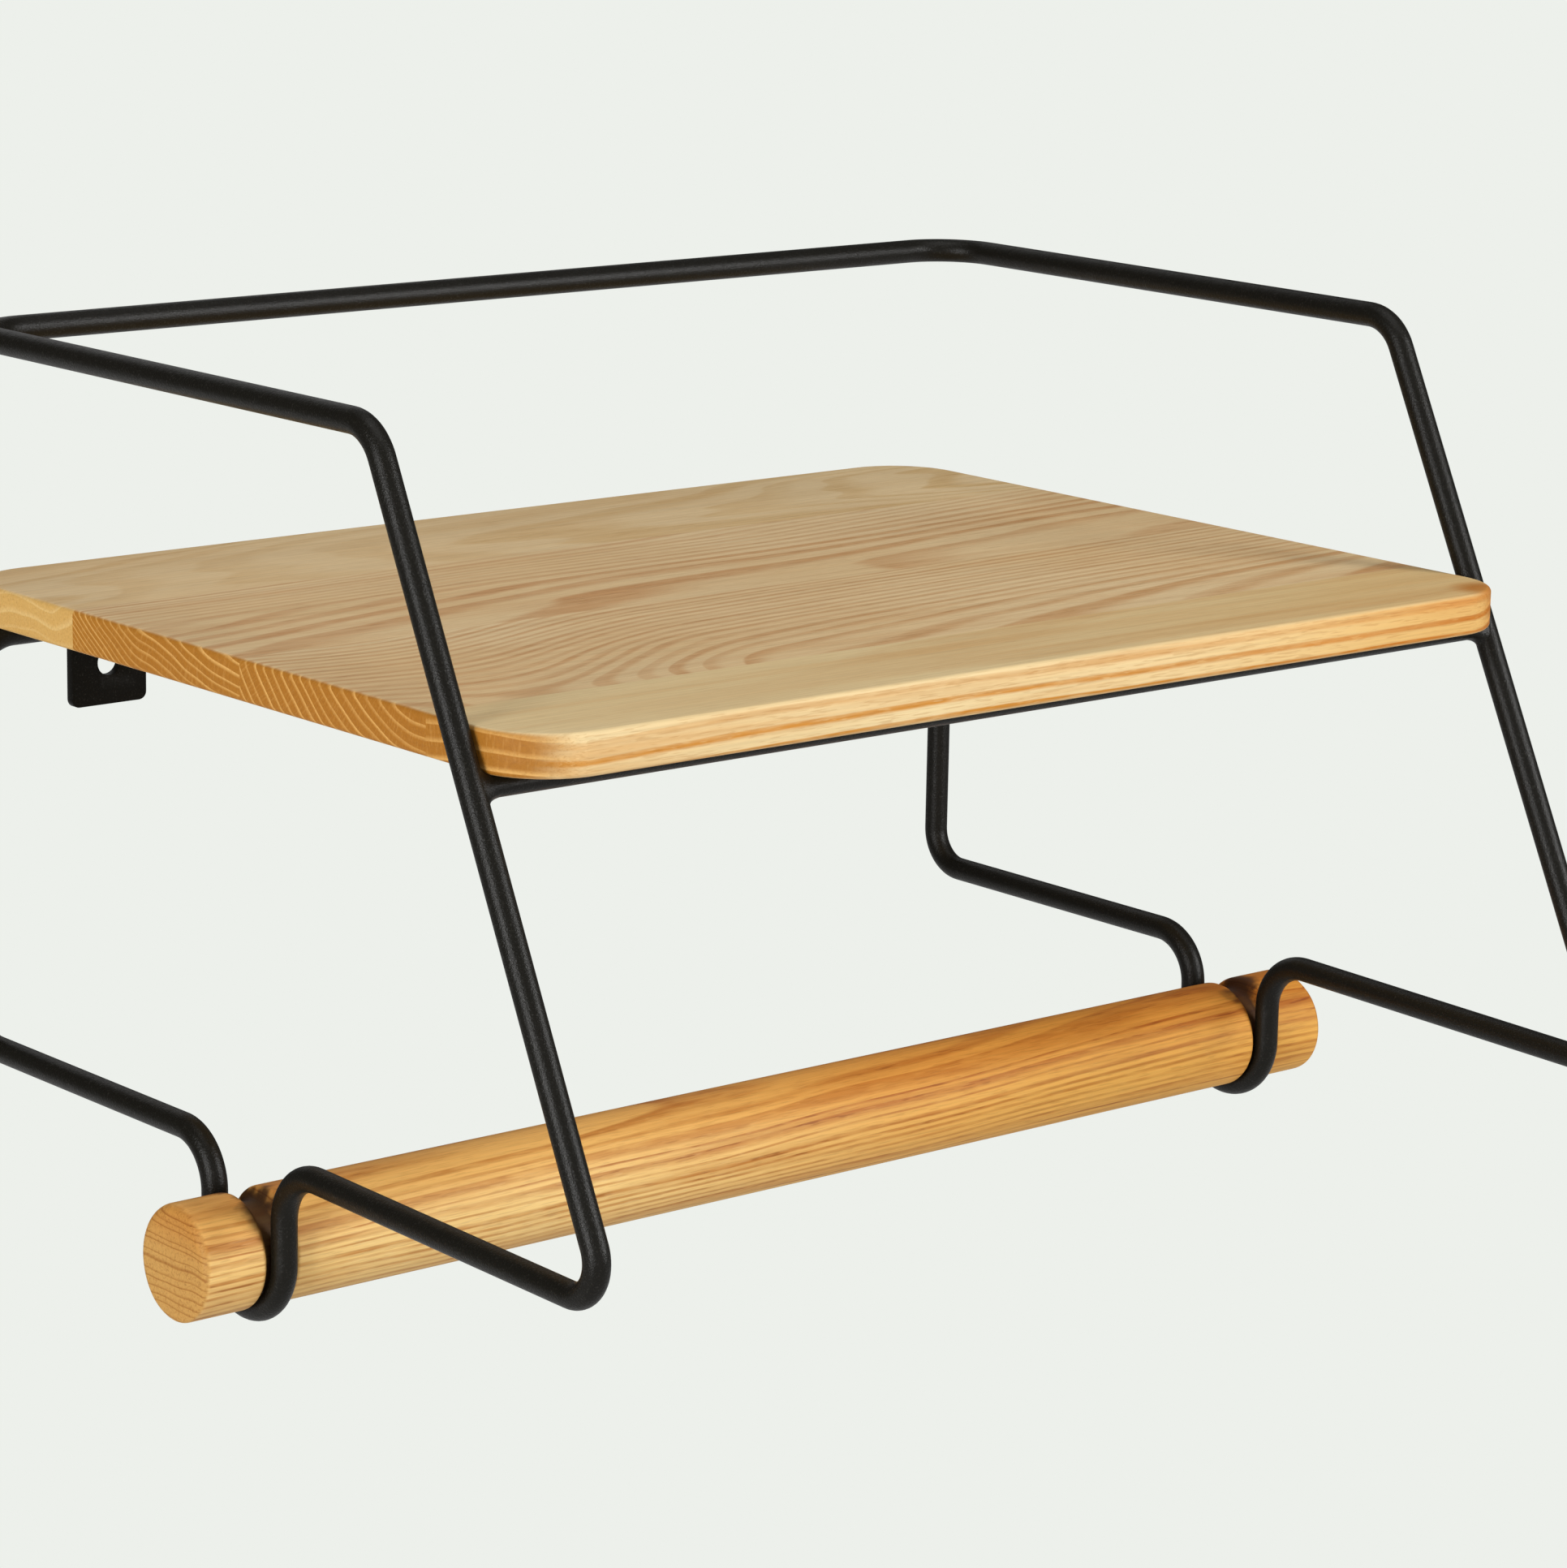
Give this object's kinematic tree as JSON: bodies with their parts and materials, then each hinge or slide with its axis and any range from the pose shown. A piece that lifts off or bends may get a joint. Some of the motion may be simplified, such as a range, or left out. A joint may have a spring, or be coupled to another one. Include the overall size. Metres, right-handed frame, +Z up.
{
  "type": "wall shelf with paper-roll bar",
  "caption": "Wooden wall shelf on a bent black steel rod frame, with a gallery rail above and a turned wooden bar that lifts out of open cradles below to hold a paper roll.",
  "frame": {"origin": "on the wall plane, halfway between the two wall-screw holes", "axes": "+Z up, +Y into the wall so that the shelf stands out towards -Y, +X to the right of a person who faces the wall"},
  "size_m": [0.3456, 0.2556, 0.2103],
  "materials": {
    "frame_powder_coat": "near-black powder coat with a fine hammered texture, satin",
    "bracket_powder_coat": "near-black powder coat with a fine hammered texture, satin",
    "screw_steel": "blackened steel, low gloss",
    "board_wood": "pale oiled softwood staves, edge-glued, satin",
    "bar_wood": "golden-brown oiled softwood with dark lengthwise grain, satin"
  },
  "bodies": {
    "frame": {"rail_back": "frame_powder_coat", "bar_rear": "frame_powder_coat", "bar_front": "frame_powder_coat", "rail_left": "frame_powder_coat", "leg_left": "frame_powder_coat", "runner_front_left": "frame_powder_coat", "cradle_left": "frame_powder_coat", "runner_rear_left": "frame_powder_coat", "post_left": "frame_powder_coat", "rail_right": "frame_powder_coat", "leg_right": "frame_powder_coat", "runner_front_right": "frame_powder_coat", "cradle_right": "frame_powder_coat", "runner_rear_right": "frame_powder_coat", "post_right": "frame_powder_coat", "weld_bar_front_left": "frame_powder_coat", "weld_bar_front_right": "frame_powder_coat", "wall_bracket_left": "bracket_powder_coat", "wall_bracket_right": "bracket_powder_coat", "weld_wall_bracket_left": "bracket_powder_coat", "weld_wall_bracket_right": "bracket_powder_coat", "shelf_tab_front_left": "bracket_powder_coat", "shelf_tab_front_right": "bracket_powder_coat", "shelf_tab_rear_left": "bracket_powder_coat", "shelf_tab_rear_right": "bracket_powder_coat", "weld_shelf_tab_front_left": "bracket_powder_coat", "weld_shelf_tab_front_right": "bracket_powder_coat", "weld_shelf_tab_rear_left": "bracket_powder_coat", "weld_shelf_tab_rear_right": "bracket_powder_coat", "shelf_screw_front_left": "screw_steel", "shelf_screw_front_right": "screw_steel", "shelf_screw_rear_left": "screw_steel", "shelf_screw_rear_right": "screw_steel", "shelf_stave_1": "board_wood", "shelf_stave_2": "board_wood", "shelf_stave_3": "board_wood", "shelf_stave_4": "board_wood"},
    "roll_bar": {"roll_bar": "bar_wood"}
  },
  "joints": [
    {"name": "roll_bar_lift", "type": "slide", "parent": "frame", "child": "roll_bar", "axis": [0, 0, 1], "range_m": [0, 0.045]}
  ]
}
